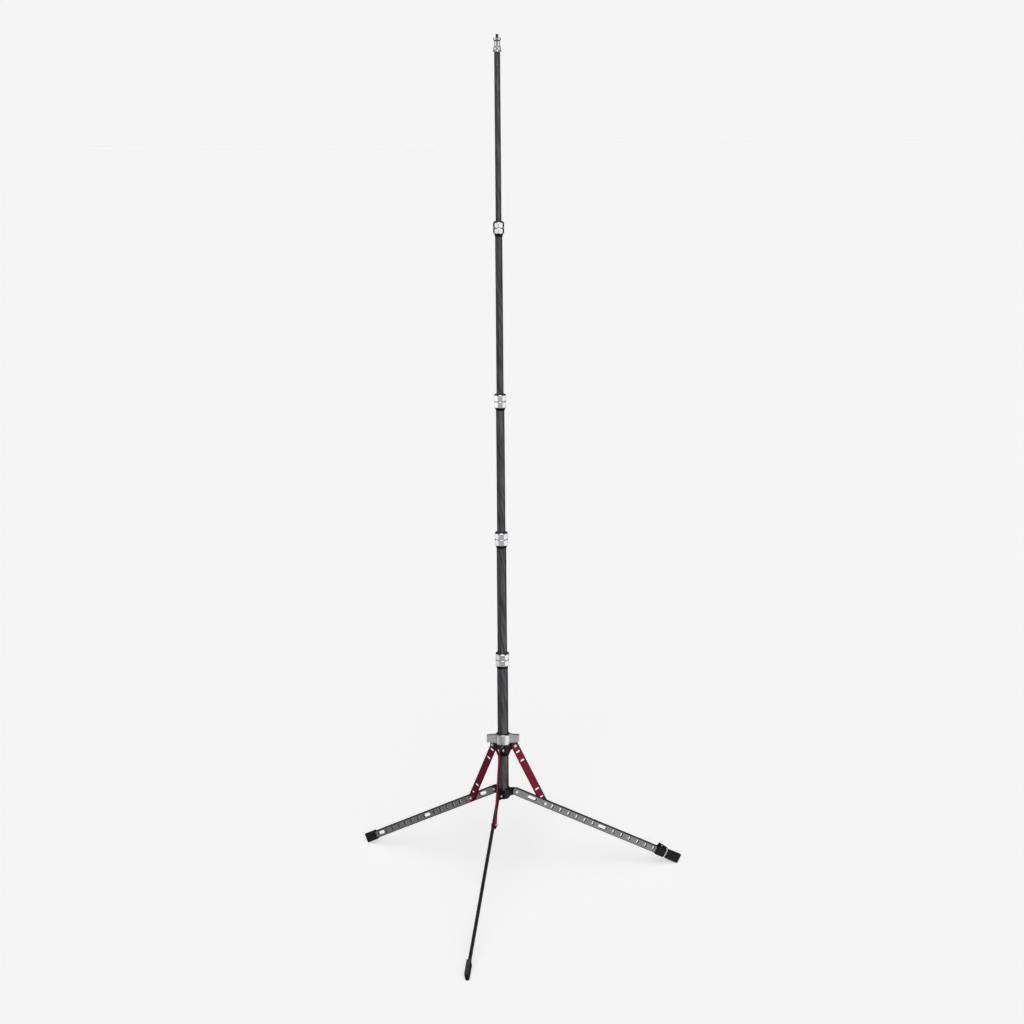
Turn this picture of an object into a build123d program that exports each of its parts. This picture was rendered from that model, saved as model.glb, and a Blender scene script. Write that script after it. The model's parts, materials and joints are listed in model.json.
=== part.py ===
from build123d import *
import os
import math

os.makedirs("parts", exist_ok=True)

# ------------------------------------------------------------------
# Telescopic pole on a folding three-leg base, shown fully extended.
# Frame: origin on the ground, under the pole's axis; +Z up the pole.
# All lengths in millimetres, all angles in degrees.
# ------------------------------------------------------------------

# ---- driving dimensions ----
TOTAL_H = 1970.0                             # ground to the tip of the top screw
TUBE_OD = [24.8, 21.8, 18.8, 15.8, 12.8]     # five tubes, bottom to top
TUBE_WALL = 1.0
LOCK_Z = [577.2, 863.1, 1179.3, 1561.7]      # middle groove of each twist lock
LOCK_AF = [31.0, 29.0, 26.0, 22.5]           # across flats of each lock nut
LOCK_HALF = [15.0, 15.0, 15.0, 13.0]         # half height of each lock nut
LOCK_SLEEVE = 1.3                            # threaded sleeve wall on the outer tube
BASE_COLLAR_R = [13.8, 12.5, 11.5, 9.3]      # black tapered collar below each nut
BASE_COLLAR_H = 6.0
RING_H = 1.6                                 # black wiper ring on each nut
RUN = 0.08                                   # running clearance, radial
STUD_Z = 1933.4                              # underside of the stud's flange
COLLAPSED_PITCH = [39.0, 39.0, 37.0, 16.0]   # lock to lock when closed, last is lock to stud
TUBE_FLOOR = 251.0                           # bottom of the inner tubes when closed

FRONT_AZ = -9.5                              # azimuth of the front leg, from -Y towards +X
LEG_AZ = {"front": FRONT_AZ, "right": FRONT_AZ + 120.0, "left": FRONT_AZ - 120.0}
FOOT_R = 449.0                               # pole axis to the foot's ground contact
RP, ZP = 28.9, 250.4                         # leg pivot on the lower hub
RU, ZU = 27.9, 363.1                         # strut pivot on the sliding collar
A_STRUT = 82.7                               # strut pivot, along the leg from its pivot
FOLD_ELEV = 86.0                             # leg elevation when folded up along the pole

LEG_T, LEG_H, LEG_WALL = 5.0, 19.4, 1.1
LEG_Y = (-9.9, -4.9)                        # sideways place of the leg, ears and strut
EAR_LOW_Y = (-4.6, -1.0)
STRUT_Y = (-4.6, -1.0)
EAR_UP_Y = (-0.7, 4.3)
STRUT_W = 18.2
FOOT_H, FOOT_T, FOOT_S0 = 23.6, 9.8, 450.0
LEG_ROUND = 2.2                             # rounding of the leg's long edges
BAR_T, BAR_H = 2.4, 16.8                    # sliding bar of the levelling leg
CLAMP_W = 13.6
FOOT_LAND = 1.0                              # flat worn on the lower corner of each foot
PIN_R = 2.5
PIN_GAP = 0.05
LONG_SLOTS = [45.0, 252.0, 429.0]
CROSS_SLOTS = [104.4 + 23.9 * i for i in range(6)] + [286.0 + 24.5 * i for i in range(6)]
STRUT_SLOTS = [18.2, 43.2, 128.7, 152.7]

HUB_Z = (237.0, 263.5)
HUB_R = 15.7
COLLAR_Z = (344.0, 371.7)
COLLAR_R = 17.2
NECK_R, NECK_TOP = 14.6, 388.0
KNOB_Z = (372.0, 396.0)
KNOB_R = 16.8
WING_R, WING_T, WING_END_H = 38.0, 6.8, 17.0

CLAMP_S = (419.0, 443.0)                     # levelling clamp, along the right leg
LEVEL_FOOT_S0 = 451.0

# ---- values that follow ----
_h = FOOT_H / 2
_dr, _dz = FOOT_R - RP, ZP + FOOT_LAND
_L = math.hypot(_dr, _dz)
THETA = math.degrees(math.atan2(_dz, _dr) - math.asin(_h / _L))   # leg slope below level
S_END = math.sqrt(_L * _L - _h * _h)                               # foot end, along the leg
_t = math.radians(THETA)
AR, AZ_ = RP + A_STRUT * math.cos(_t), ZP - A_STRUT * math.sin(_t)  # strut-leg pivot
STRUT_L = math.hypot(AR - RU, ZU - AZ_)
STRUT_TILT = math.degrees(math.atan2(AR - RU, ZU - AZ_))            # from straight down
_f = math.radians(FOLD_ELEV)
_fr = RP + A_STRUT * math.cos(_f) - RU
COLLAR_UP = ZP + A_STRUT * math.sin(_f) + math.sqrt(STRUT_L ** 2 - _fr ** 2) - ZU
STRUT_TILT_FOLDED = math.degrees(math.asin(_fr / STRUT_L))
FOLD_TRAVEL = THETA + FOLD_ELEV
SLIDE = [LOCK_Z[1] - LOCK_Z[0] - COLLAPSED_PITCH[0],
         LOCK_Z[2] - LOCK_Z[1] - COLLAPSED_PITCH[1],
         LOCK_Z[3] - LOCK_Z[2] - COLLAPSED_PITCH[2],
         STUD_Z - LOCK_Z[3] - COLLAPSED_PITCH[3]]
TUBE_Z0 = [241.5]
_s = 0.0
for _d in SLIDE:
    _s += _d
    TUBE_Z0.append(TUBE_FLOOR + _s)
TUBE_Z1 = [z + 2.0 for z in LOCK_Z] + [STUD_Z]
# ---- end of values ----


# ---- helpers ----
def cyl(r, z0, z1, ri=0.0):
    a = Pos(0, 0, z0) * Cylinder(r, z1 - z0, align=(Align.CENTER, Align.CENTER, Align.MIN))
    if ri > 0:
        a = a - Pos(0, 0, z0 - 1) * Cylinder(ri, z1 - z0 + 2, align=(Align.CENTER, Align.CENTER, Align.MIN))
    return a


def poly(pts):
    return make_face(Polyline(*[(float(x), float(y)) for x, y in pts], close=True))


def turned(pts):
    """Solid of revolution about Z from (radius, z) points."""
    return revolve(Plane.XZ * poly(pts), Axis.Z)


def plate(sk, y0, y1):
    """Sketch in (radial, height) made into a plate between two sideways planes."""
    return Pos(0, y1, 0) * (Rot(90, 0, 0) * extrude(sk, amount=y1 - y0))


def ydisc(r, x, z, y0, y1):
    return plate(Pos(x, z) * Circle(r), y0, y1)


def yhex(af, x, z, y0, y1):
    return plate(Pos(x, z) * RegularPolygon(af / 2, 6, major_radius=False), y0, y1)


def at_az(shape, az):
    return Rot(0, 0, az - 90.0) * shape


def on_leg(shape):
    """From leg coordinates (along, sideways, up) to the leg's own vertical plane."""
    return Pos(RP, 0, ZP) * (Rot(0, THETA, 0) * shape)


def on_strut(shape):
    """From strut coordinates (x along, from its top pivot) to the vertical plane."""
    return Pos(RU, 0, ZU) * (Rot(0, 90.0 - STRUT_TILT, 0) * shape)


def put(name, shape):
    if isinstance(shape, (list, tuple)):
        solids = []
        for s in shape:
            solids += list(s.solids())
    else:
        solids = list(shape.solids())
    out = solids[0] if len(solids) == 1 else Compound(children=solids)
    out.label = name
    export_step(out, f"parts/{name}.step")


# ---- pole tubes, with a moulded guide bush on the foot of each inner tube ----
for i in range(5):
    ro = TUBE_OD[i] / 2
    put(f"tube_{i + 1}", cyl(ro, TUBE_Z0[i], TUBE_Z1[i], ro - TUBE_WALL))
for i in range(1, 5):
    ro = TUBE_OD[i] / 2
    outer = TUBE_OD[i - 1] / 2 - TUBE_WALL - RUN
    z = TUBE_Z0[i]
    put(f"guide_bush_{i + 1}", turned([
        (ro - TUBE_WALL, z - 3.0), (outer - 0.6, z - 3.0), (outer, z - 2.0), (outer, z + 24.0),
        (ro, z + 24.0), (ro, z), (ro - TUBE_WALL, z)]))

# ---- twist locks: threaded base bonded on the outer tube, split collet, nut, wiper ring ----
for i in range(4):
    z, hh, af = LOCK_Z[i], LOCK_HALF[i], LOCK_AF[i]
    ro, ri = TUBE_OD[i] / 2, TUBE_OD[i + 1] / 2
    sleeve = ro + LOCK_SLEEVE
    bore = sleeve + RUN
    cr = BASE_COLLAR_R[i]
    zb = z - hh
    put(f"lock_base_{i + 1}", turned([
        (ro, zb - BASE_COLLAR_H), (ro + 0.5, zb - BASE_COLLAR_H), (cr, zb - 1.3), (cr, zb - 0.1),
        (sleeve, zb - 0.1), (sleeve, z + 2.0), (ro, z + 2.0)]))
    collet = turned([
        (ri + RUN, z + 2.3), (sleeve - 0.2, z + 2.3), (sleeve - 0.2, z + hh - 5.0),
        (sleeve - 1.2, z + hh - 2.4), (ri + RUN, z + hh - 2.4)])
    slit = Pos(ro, 0, z + hh / 2) * Box(2 * ro, 1.2, 2 * hh)
    part_slit = Pos(ro, 0, z + 4.6 + hh) * Box(2 * ro, 1.2, 2 * hh)
    collet = collet - Rot(0, 0, 40.0) * slit
    for k in range(3):
        collet = collet - Rot(0, 0, 130.0 + 90.0 * k) * part_slit
    put(f"lock_collet_{i + 1}", collet)
    # octagonal nut in two bands, a turned groove between them, ends turned down to the flats
    rot = 0.0 if i == 3 else 22.5
    apo = af / 2
    cor = apo / math.cos(math.radians(22.5))
    blank = Pos(0, 0, z - hh) * extrude(
        RegularPolygon(apo, 8, major_radius=False, rotation=rot), amount=2 * hh)
    gd = cor - apo + 0.55
    envelope = turned([
        (0, z - hh), (apo - 0.9, z - hh), (cor + 0.05, z - hh + 2.4),
        (cor + 0.05, z - 2.1), (cor - gd, z), (cor + 0.05, z + 2.1),
        (cor + 0.05, z + hh - 2.4), (apo - 0.9, z + hh), (0, z + hh)])
    nut = blank & envelope
    nut = nut - cyl(bore, z - hh - 1, z + hh - 2.0) - cyl(ri + 0.35, z, z + hh + 1)
    put(f"lock_nut_{i + 1}", nut)
    put(f"lock_ring_{i + 1}", turned([
        (ri + 0.3, z + hh), (apo - 1.0, z + hh), (apo - 1.0, z + hh + 0.5),
        (apo - 2.1, z + hh + RING_H), (ri + 0.3, z + hh + RING_H)]))

# ---- top: plug in the last tube, stepped stud, threaded tip ----
r5 = TUBE_OD[4] / 2 - TUBE_WALL
put("top_plug", cyl(r5, STUD_Z - 30.0, STUD_Z, 3.0))
put("stud", turned([
    (0, STUD_Z - 22.0), (3.0, STUD_Z - 22.0), (3.0, STUD_Z), (9.75, STUD_Z), (9.75, STUD_Z + 1.0),
    (8.6, STUD_Z + 2.4), (7.6, STUD_Z + 2.8), (7.6, 1937.8), (7.95, 1938.2), (7.95, 1942.6),
    (7.5, 1943.2), (6.15, 1944.4), (6.15, 1955.4), (7.95, 1958.0), (7.95, 1961.9), (7.35, 1962.5),
    (2.4, 1962.5), (2.4, 1950.0), (0, 1950.0)]))
put("stud_screw", turned([
    (0, 1950.2), (2.35, 1950.2), (2.35, 1962.5), (3.175, 1962.5), (3.175, TOTAL_H - 0.7),
    (2.5, TOTAL_H), (0, TOTAL_H)]))

# ---- lower hub: socket for the first tube, with one ear beside each leg ----
hub = turned([
    (0, HUB_Z[0]), (HUB_R - 3.2, HUB_Z[0]), (HUB_R, HUB_Z[0] + 3.6), (HUB_R, HUB_Z[1] - 3.0),
    (HUB_R - 1.9, HUB_Z[1]), (0, HUB_Z[1])])
ear_low = plate(poly([(6, 261.8), (RP, ZP + 8.2), (RP, ZP - 8.2), (6, 239.6)]), *EAR_LOW_Y)
ear_low = ear_low + ydisc(8.2, RP, ZP, *EAR_LOW_Y)
ear_low = ear_low - ydisc(PIN_R, RP, ZP, EAR_LOW_Y[0] - 1, EAR_LOW_Y[1] + 1)
for az in LEG_AZ.values():
    hub = hub + at_az(ear_low, az)
hub = hub - cyl(TUBE_OD[0] / 2, HUB_Z[0] - 1, HUB_Z[1] + 1)
put("hub_lower", hub)
put("hub_plug", turned([
    (0, HUB_Z[0] + 0.6), (TUBE_OD[0] / 2 - 0.6, HUB_Z[0] + 0.6), (TUBE_OD[0] / 2, HUB_Z[0] + 1.2),
    (TUBE_OD[0] / 2, TUBE_Z0[0]), (TUBE_OD[0] / 2 - TUBE_WALL, TUBE_Z0[0]),
    (TUBE_OD[0] / 2 - TUBE_WALL, TUBE_Z0[0] + 4.5), (8.0, TUBE_Z0[0] + 4.5), (8.0, TUBE_Z0[0]),
    (0, TUBE_Z0[0])]))

bolt = ydisc(PIN_R, RP, ZP, LEG_Y[0] - 3.2, EAR_LOW_Y[1])
bolt = bolt + ydisc(4.1, RP, ZP, EAR_LOW_Y[1], EAR_LOW_Y[1] + 2.6)
bolt = bolt - yhex(4.0, RP, ZP, EAR_LOW_Y[1] + 1.1, EAR_LOW_Y[1] + 3.6)
put("leg_pivot_bolts", [at_az(bolt, az) for az in LEG_AZ.values()])
nutl = yhex(8.0, RP, ZP, LEG_Y[0] - 2.9, LEG_Y[0] - 0.3) - ydisc(PIN_R, RP, ZP, LEG_Y[0] - 4, LEG_Y[0] + 1)
put("leg_pivot_nuts", [at_az(nutl, az) for az in LEG_AZ.values()])

# ---- sliding collar: body with one ear beside each strut, bush, collet ----
col = turned([
    (0, COLLAR_Z[0]), (13.9, COLLAR_Z[0]), (COLLAR_R, COLLAR_Z[0] + 8.5), (COLLAR_R, COLLAR_Z[1]),
    (NECK_R, COLLAR_Z[1]), (NECK_R, NECK_TOP), (0, NECK_TOP)])
ear_up = plate(poly([
    (6, COLLAR_Z[1]), (RU + 8.0, COLLAR_Z[1]), (RU + 8.0, ZU), (RU + 5.2, ZU - 5.8),
    (RU - 3.0, ZU - 7.6), (12.0, ZU - 15.5), (6, ZU - 15.5)]), *EAR_UP_Y)
ear_up = ear_up + ydisc(8.0, RU, ZU, *EAR_UP_Y)
ear_up = ear_up - ydisc(PIN_R, RU, ZU, EAR_UP_Y[0] - 1, EAR_UP_Y[1] + 1)
for az in LEG_AZ.values():
    col = col + at_az(ear_up, az)
BUSH_RO = 13.3
col = col - cyl(BUSH_RO, COLLAR_Z[0] - 1, COLLAR_Z[1]) - cyl(12.9, COLLAR_Z[0], NECK_TOP + 1)
put("collar_body", col)
put("collar_bush", cyl(BUSH_RO, COLLAR_Z[0] + 0.6, COLLAR_Z[1], TUBE_OD[0] / 2 + RUN))
ccol = turned([
    (TUBE_OD[0] / 2 + RUN, NECK_TOP + 0.2), (14.1, NECK_TOP + 0.2), (14.1, NECK_TOP + 2.4),
    (13.2, NECK_TOP + 5.2), (TUBE_OD[0] / 2 + RUN, NECK_TOP + 5.2)])
ccol = ccol - Rot(0, 0, 200.0) * (Pos(12.0, 0, NECK_TOP + 3) * Box(8, 1.4, 12))
put("collar_collet", ccol)

# ---- wing knob: threaded round body with two straight tapering wings ----
kz0, kz1 = KNOB_Z
km = (kz0 + kz1) / 2
knob = turned([
    (0, kz0), (KNOB_R - 0.8, kz0), (KNOB_R, kz0 + 0.8), (KNOB_R, kz1 - 1.0), (KNOB_R - 1.0, kz1), (0, kz1)])
hw = WING_END_H / 2
wing_sk = poly([
    (-WING_R, km - hw), (0, kz0 + 0.2), (WING_R, km - hw), (WING_R, km + hw), (0, kz1 - 0.2),
    (-WING_R, km + hw)])
wing = plate(wing_sk, -WING_T / 2, WING_T / 2)
wing = fillet(wing.edges().filter_by(Axis.Z), 2.2)
knob = knob + wing
knob = knob - cyl(NECK_R + PIN_GAP, kz0 - 1, kz1 - 2.4) - cyl(TUBE_OD[0] / 2 + 0.5, kz0, kz1 + 1)
put("wing_knob", knob)
put("knob_ring", turned([
    (TUBE_OD[0] / 2 + 0.45, kz1), (14.6, kz1), (14.6, kz1 + 1.2), (13.9, kz1 + 2.2),
    (TUBE_OD[0] / 2 + 0.45, kz1 + 2.2)]))

sbolt = ydisc(PIN_R, RU, ZU, STRUT_Y[0] - 2.7, EAR_UP_Y[1])
sbolt = sbolt + ydisc(3.9, RU, ZU, EAR_UP_Y[1], EAR_UP_Y[1] + 2.5)
sbolt = sbolt - yhex(3.6, RU, ZU, EAR_UP_Y[1] + 1.1, EAR_UP_Y[1] + 3.5)
put("strut_top_bolts", [at_az(sbolt, az) for az in LEG_AZ.values()])
snut = yhex(7.0, RU, ZU, STRUT_Y[0] - 2.5, STRUT_Y[0] - 0.3) - ydisc(PIN_R, RU, ZU, STRUT_Y[0] - 4, STRUT_Y[0] + 1)
put("strut_top_nuts", [at_az(snut, az) for az in LEG_AZ.values()])

# ---- struts: flat bars with rounded ends and four crosswise slots ----
hs = STRUT_W / 2
bar = Pos(STRUT_L / 2, 0) * SlotOverall(STRUT_L + STRUT_W, STRUT_W)
for s in STRUT_SLOTS:
    bar = bar - Pos(s, 0) * SlotOverall(10.4, 5.8, rotation=90)
strut = plate(bar, *STRUT_Y)
strut = fillet(strut.faces().sort_by(Axis.Y)[-1].outer_wire().edges(), 1.4)
strut = fillet(strut.faces().sort_by(Axis.Y)[0].outer_wire().edges(), 1.4)
strut = strut - ydisc(PIN_R + PIN_GAP, 0, 0, STRUT_Y[0] - 1, STRUT_Y[1] + 1)
strut = strut - ydisc(PIN_R, STRUT_L, 0, STRUT_Y[0] - 1, STRUT_Y[1] + 1)
lbolt = ydisc(PIN_R, STRUT_L, 0, STRUT_Y[0], STRUT_Y[1]) + ydisc(4.0, STRUT_L, 0, STRUT_Y[1], STRUT_Y[1] + 2.5)
lbolt = lbolt - yhex(3.8, STRUT_L, 0, STRUT_Y[1] + 1.1, STRUT_Y[1] + 3.5)

# ---- legs: flat hollow bars, rounded at the hub, pierced from side to side ----
ymid = (LEG_Y[0] + LEG_Y[1]) / 2
hl = LEG_H / 2


def leg_bar(s_end, long_slots):
    sk = Circle(hl) + Pos(s_end / 2, 0) * Rectangle(s_end, LEG_H)
    b = plate(sk, *LEG_Y)
    long_edges = [e for e in b.edges() if e.center().X < s_end - 0.5 and abs(e.center().Y - ymid) > LEG_T / 2 - 0.01]
    b = fillet(long_edges, LEG_ROUND)
    cav0 = 13.0
    cav = Pos((cav0 + s_end + 5) / 2, ymid, 0) * Box(s_end + 5 - cav0, LEG_T - 2 * LEG_WALL, LEG_H - 2 * LEG_WALL)
    b = b - cav
    cuts = None
    for s in long_slots:
        c = Pos(s, 0) * SlotOverall(24.4, 7.6)
        cuts = c if cuts is None else cuts + c
    for s in CROSS_SLOTS:
        cuts = cuts + Pos(s, 0) * SlotOverall(10.6, 5.6, rotation=90)
    b = b - plate(cuts, LEG_Y[0] - 1, LEG_Y[1] + 1)
    b = b - ydisc(PIN_R + PIN_GAP, 0, 0, LEG_Y[0] - 1, LEG_Y[1] + 1)
    b = b - ydisc(PIN_R, A_STRUT, 0, LEG_Y[0] - 1, LEG_Y[1] + 1)
    return b


def foot(s0, pocket_t, pocket_h):
    w = FOOT_T / 2
    c = 2.8
    sk = Pos(0, ymid) * poly([(s0, -w), (S_END - c, -w), (S_END, -w + c), (S_END, w - c), (S_END - c, w), (s0, w)])
    f = Pos(0, 0, -_h) * extrude(sk, amount=FOOT_H)
    f = chamfer(f.faces().sort_by(Axis.X)[0].edges(), 1.2)
    f = f - Pos((s0 + 478.0) / 2 - 1, ymid, 0) * Box(478.0 - s0 + 2, pocket_t, pocket_h)
    return f


ground = Pos(0, 0, -50) * Box(2000, 2000, 100)
leg_nut = ydisc(PIN_R, A_STRUT, 0, LEG_Y[0] - 2.6, LEG_Y[1])
leg_nut = leg_nut + yhex(7.0, A_STRUT, 0, LEG_Y[0] - 2.2, LEG_Y[0])
for name, az in LEG_AZ.items():
    right = name == "right"
    leg = leg_bar(438.0 if right else 477.5, LONG_SLOTS[:2] if right else LONG_SLOTS)
    put(f"leg_{name}", at_az(on_leg(leg), az))
    if right:
        ft = foot(LEVEL_FOOT_S0, BAR_T, BAR_H)
    else:
        ft = foot(FOOT_S0, LEG_T, LEG_H)
    put(f"foot_{name}", at_az(on_leg(ft) - ground, az))
    put(f"leg_strut_nut_{name}", at_az(on_leg(leg_nut), az))
    put(f"strut_{name}", at_az(on_strut(strut), az))
    put(f"strut_lower_bolt_{name}", at_az(on_strut(lbolt), az))

# ---- levelling clamp on the right leg: sliding bar, clamp body, flip lever and its pin ----
az = LEG_AZ["right"]
lb = Pos((424.0 + 478.0) / 2, ymid, 0) * Box(478.0 - 424.0, BAR_T, BAR_H)
for sgn in (1, -1):
    lb = lb + Pos((336.0 + 424.5) / 2, ymid, sgn * (BAR_H / 2 - 0.8)) * Box(88.5, BAR_T, 1.6)
put("leveller_bar", at_az(on_leg(lb), az))

c0, c1 = CLAMP_S
body_sk = poly([(c0, -9.8), (c0 + 1.6, -11.6), (c1 - 2.4, -11.6), (c1, -9.2), (c1, 10.2), (c1 - 2.0, 12.0), (c0, 12.0)])
clamp_b = plate(body_sk, ymid - CLAMP_W / 2, ymid + CLAMP_W / 2)
clamp_b = chamfer(clamp_b.edges().filter_by(Axis.X), 2.0)
PV = (c0 + 5.0, 14.8)
for sgn in (1, -1):
    y_a = ymid + (3.6 if sgn > 0 else -6.5)
    clamp_b = clamp_b + (plate(poly([(PV[0] - 3.6, 11.2), (PV[0] + 5.2, 11.2), (PV[0] + 3.0, PV[1]), (PV[0] - 3.0, PV[1])]), y_a, y_a + 2.9)
                         + ydisc(3.0, PV[0], PV[1], y_a, y_a + 2.9))
clamp_b = clamp_b - Pos((c0 + 438.0) / 2 - 5, ymid, 0) * Box(438.0 - c0 + 10, LEG_T, LEG_H)
clamp_b = clamp_b - Pos(440.0, ymid, 0) * Box(20, BAR_T + 0.4, BAR_H + 0.4)
clamp_b = clamp_b - ydisc(1.2, PV[0], PV[1], ymid - 9, ymid + 9)
put("leveller_clamp", at_az(on_leg(clamp_b), az))
lev = ydisc(2.5, PV[0], PV[1], ymid - 3.3, ymid + 3.3)
lev = lev + plate(poly([
    (PV[0], PV[1] + 2.5), (PV[0], PV[1] - 1.0), (PV[0] + 6.5, 12.6), (c1 + 1.5, 12.6), (c1 + 1.5, 14.2), (c1 - 6, 15.4)]),
    ymid - 3.3, ymid + 3.3)
lev = lev + plate(poly([(PV[0] + 7.0, 12.6), (c1 + 1.5, 12.6), (c1 + 1.5, 14.2), (c1 - 6, 15.4), (PV[0] + 7.0, 16.2)]),
                  ymid - 5.6, ymid + 5.6)
lev = lev - ydisc(1.2 + PIN_GAP, PV[0], PV[1], ymid - 9, ymid + 9)
put("leveller_lever", at_az(on_leg(lev), az))
put("lever_pin", at_az(on_leg(ydisc(1.2, PV[0], PV[1], ymid - 6.5, ymid + 6.5)), az))

print("theta", round(THETA, 3), "s_end", round(S_END, 2), "strut", round(STRUT_L, 2), "tilt", round(STRUT_TILT, 3),
      "collar up", round(COLLAR_UP, 2), "slides", [round(d, 1) for d in SLIDE])
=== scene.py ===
import bpy, bmesh, math, json
from mathutils import Vector, Matrix
from mathutils.geometry import delaunay_2d_cdt


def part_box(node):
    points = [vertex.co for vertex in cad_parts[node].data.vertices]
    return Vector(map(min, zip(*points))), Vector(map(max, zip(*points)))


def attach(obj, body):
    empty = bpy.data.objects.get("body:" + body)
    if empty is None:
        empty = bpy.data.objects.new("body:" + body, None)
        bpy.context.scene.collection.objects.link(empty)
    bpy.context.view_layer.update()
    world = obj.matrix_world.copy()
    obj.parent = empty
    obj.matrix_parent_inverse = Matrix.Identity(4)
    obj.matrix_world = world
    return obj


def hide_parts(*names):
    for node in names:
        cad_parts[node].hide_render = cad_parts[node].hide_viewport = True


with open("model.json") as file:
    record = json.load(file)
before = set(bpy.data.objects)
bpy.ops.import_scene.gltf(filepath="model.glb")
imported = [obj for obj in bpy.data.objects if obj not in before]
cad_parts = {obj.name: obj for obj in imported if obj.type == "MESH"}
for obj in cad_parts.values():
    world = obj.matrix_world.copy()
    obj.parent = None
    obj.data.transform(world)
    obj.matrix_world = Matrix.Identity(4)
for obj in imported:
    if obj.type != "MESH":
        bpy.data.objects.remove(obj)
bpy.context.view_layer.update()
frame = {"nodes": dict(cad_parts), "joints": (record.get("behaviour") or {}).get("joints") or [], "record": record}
NODES = frame["nodes"]
JOINTS = {j["name"]: j for j in frame["joints"]}
RECORD = frame["record"]
MM = 0.001
scene = bpy.context.scene
Z = Vector((0, 0, 1))

# ------------------------------------------------------------------ design sizes, mm, as in the CAD model
TUBE_OD = [24.8, 21.8, 18.8, 15.8, 12.8]
TUBE_WALL = 1.0
LOCK_AF = [31.0, 29.0, 26.0, 22.5]
LOCK_HALF = [15.0, 15.0, 15.0, 13.0]
LOCK_SLEEVE = 1.3
BASE_COLLAR_R = [13.8, 12.5, 11.5, 9.3]
STRUT_W = 18.2
STRUT_ROUND = 1.4
STRUT_SLOTS = [18.2, 43.2, 128.7, 152.7]
LEG_Y = (-9.9, -4.9)
STRUT_Y = (-4.6, -1.0)
EAR_LOW_Y = (-3.3, 2.4)
EAR_UP_Y = (2.7, 7.7)
LEG_H, LEG_WALL, LEG_ROUND = 19.4, 1.1, 2.2
A_STRUT = 82.7
LONG_SLOTS = [45.0, 252.0, 429.0]
CROSS_SLOTS = [104.4 + 23.9 * i for i in range(6)] + [286.0 + 24.5 * i for i in range(6)]
FOOT_H, FOOT_T, FOOT_S0 = 23.6, 9.8, 450.0
LEVEL_FOOT_S0 = 451.0
YMID = (LEG_Y[0] + LEG_Y[1]) / 2


def zspan(node):
    a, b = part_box(node)
    return a.z / MM, b.z / MM


# ------------------------------------------------------------------ mesh builders
def finish_mesh(name, verts, faces, normals, M, mat, body, nodes=()):
    """verts in mm in local axes, M to the row frame (metres). Sets exact vertex normals."""
    me = bpy.data.meshes.new(name)
    vs = [M @ (Vector(v) * MM) for v in verts]
    me.from_pydata([tuple(v) for v in vs], [], faces)
    me.update()
    bm = bmesh.new()
    bm.from_mesh(me)
    bmesh.ops.recalc_face_normals(bm, faces=bm.faces)
    bm.to_mesh(me)
    bm.free()
    me.shade_smooth()
    if normals is not None:
        R = M.to_3x3()
        ns = [(R @ Vector(n)).normalized() for n in normals]
        me.normals_split_custom_set_from_vertices([tuple(n) for n in ns])
    me.materials.append(mat)
    ob = bpy.data.objects.new(name, me)
    scene.collection.objects.link(ob)
    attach(ob, body)
    if nodes:
        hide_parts(*nodes)
    return ob


def rounded(pts, rads, seg=4, closed=True):
    """Polygon with filleted corners: [(x, y, nx, ny)], counter-clockwise, normals to the right."""
    out = []
    n = len(pts)
    for i in range(n):
        p = Vector(pts[i])
        if not closed and i in (0, n - 1):
            q = Vector(pts[1]) if i == 0 else Vector(pts[-2])
            d = (q - p) if i == 0 else (p - q)
            d.normalize()
            out.append((p.x, p.y, d.y, -d.x))
            continue
        a, b = Vector(pts[i - 1]), Vector(pts[(i + 1) % n])
        d1, d2 = (p - a), (b - p)
        l1, l2 = d1.length, d2.length
        d1.normalize(); d2.normalize()
        turn = math.atan2(d1.x * d2.y - d1.y * d2.x, d1.dot(d2))
        r = rads[i] if isinstance(rads, (list, tuple)) else rads
        if abs(turn) < 1e-3:
            out.append((p.x, p.y, d1.y, -d1.x))
            continue
        t = r * math.tan(abs(turn) / 2)
        t = min(t, 0.48 * l1, 0.48 * l2)
        r = t / math.tan(abs(turn) / 2)
        s = 1 if turn > 0 else -1
        c = p - d1 * t + Vector((-d1.y, d1.x)) * r * s
        k = max(2, min(int(seg * abs(turn) / (math.pi / 4)) + 1, 24))
        a0 = math.atan2(-d1.x * s, d1.y * s)
        for j in range(k + 1):
            ang = a0 + turn * j / k
            nx, ny = math.cos(ang), math.sin(ang)
            out.append((c.x + nx * r * (1 if s > 0 else 1), c.y + ny * r, nx * s, ny * s))
    return out


def lathe(name, pts, rad, mat, body, nodes=(), seg=96, M=None, fseg=3):
    """Solid of revolution about local Z from (r, z) in mm, counter-clockwise, corners filleted by rad."""
    M = M or Matrix.Identity(4)
    open_ = pts[0][0] == 0 and pts[-1][0] == 0
    prof = rounded(pts, rad, fseg, closed=not open_)
    verts, norms, faces = [], [], []
    rows = []
    for (r, z, nr, nz) in prof:
        if r < 1e-9:
            rows.append([len(verts)])
            verts.append((0, 0, z)); norms.append((0, 0, 1 if nz > 0 else -1))
            continue
        row = []
        for k in range(seg):
            a = 2 * math.pi * k / seg
            row.append(len(verts))
            verts.append((r * math.cos(a), r * math.sin(a), z))
            norms.append((nr * math.cos(a), nr * math.sin(a), nz))
        rows.append(row)
    m = len(rows)
    for i in range(m if not open_ else m - 1):
        A, B = rows[i], rows[(i + 1) % m]
        for k in range(seg):
            k2 = (k + 1) % seg
            if len(A) == 1 and len(B) == 1:
                continue
            if len(A) == 1:
                faces.append((A[0], B[k], B[k2]))
            elif len(B) == 1:
                faces.append((A[k], A[k2], B[0]))
            else:
                faces.append((A[k], A[k2], B[k2], B[k]))
    return finish_mesh(name, verts, faces, norms, M, mat, body, nodes)


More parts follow.
